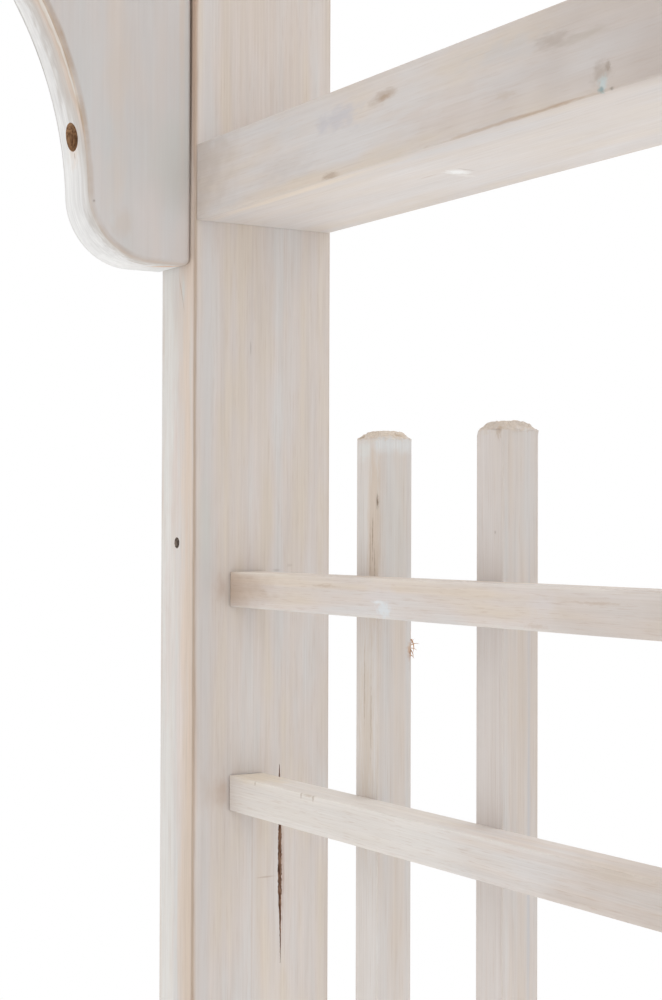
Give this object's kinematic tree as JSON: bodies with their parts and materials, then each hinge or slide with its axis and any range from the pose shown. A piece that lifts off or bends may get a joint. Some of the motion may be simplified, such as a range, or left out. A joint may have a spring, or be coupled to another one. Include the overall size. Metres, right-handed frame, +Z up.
{
  "type": "garden arch",
  "caption": "Whitewashed timber garden arch: posts with trellis sides of crossed bars, side rails, scrolled corner brackets, and rafters notched over long lintels.",
  "frame": {"origin": "on the ground, midway between the four feet", "axes": "+X across the walkway, along the lintels; +Y along the walkway, from the front to the back; +Z up"},
  "size_m": [1.67, 0.9, 2.111],
  "materials": {
    "whitewashed_timber": "white-glazed softwood, matt",
    "whitewashed_board": "white-glazed softwood board, smooth and matt",
    "whitewashed_bars": "white-glazed square bars, thinly coated",
    "zinc_screws": "zinc-plated"
  },
  "bodies": {
    "root": {"post_front_left": "whitewashed_timber", "post_front_right": "whitewashed_timber", "post_back_left": "whitewashed_timber", "post_back_right": "whitewashed_timber", "bracket_front_left": "whitewashed_board", "bracket_front_right": "whitewashed_board", "bracket_back_left": "whitewashed_board", "bracket_back_right": "whitewashed_board", "lintel_front": "whitewashed_timber", "lintel_back": "whitewashed_timber", "side_rail_left": "whitewashed_timber", "side_rail_right": "whitewashed_timber", "crossbar_left_1": "whitewashed_bars", "crossbar_left_2": "whitewashed_bars", "crossbar_left_3": "whitewashed_bars", "crossbar_left_4": "whitewashed_bars", "crossbar_left_5": "whitewashed_bars", "crossbar_left_6": "whitewashed_bars", "crossbar_right_1": "whitewashed_bars", "crossbar_right_2": "whitewashed_bars", "crossbar_right_3": "whitewashed_bars", "crossbar_right_4": "whitewashed_bars", "crossbar_right_5": "whitewashed_bars", "crossbar_right_6": "whitewashed_bars", "upright_left_1": "whitewashed_bars", "upright_left_2": "whitewashed_bars", "upright_left_3": "whitewashed_bars", "upright_left_4": "whitewashed_bars", "upright_right_1": "whitewashed_bars", "upright_right_2": "whitewashed_bars", "upright_right_3": "whitewashed_bars", "upright_right_4": "whitewashed_bars", "rafter_1": "whitewashed_timber", "rafter_2": "whitewashed_timber", "rafter_3": "whitewashed_timber", "rafter_4": "whitewashed_timber", "rafter_5": "whitewashed_timber", "rafter_6": "whitewashed_timber", "rafter_7": "whitewashed_timber", "bracket_screws": "zinc_screws", "side_rail_screws": "zinc_screws", "crossbar_screws": "zinc_screws", "upright_screws": "zinc_screws", "lintel_screws": "zinc_screws", "rafter_screws": "zinc_screws"}
  },
  "joints": []
}
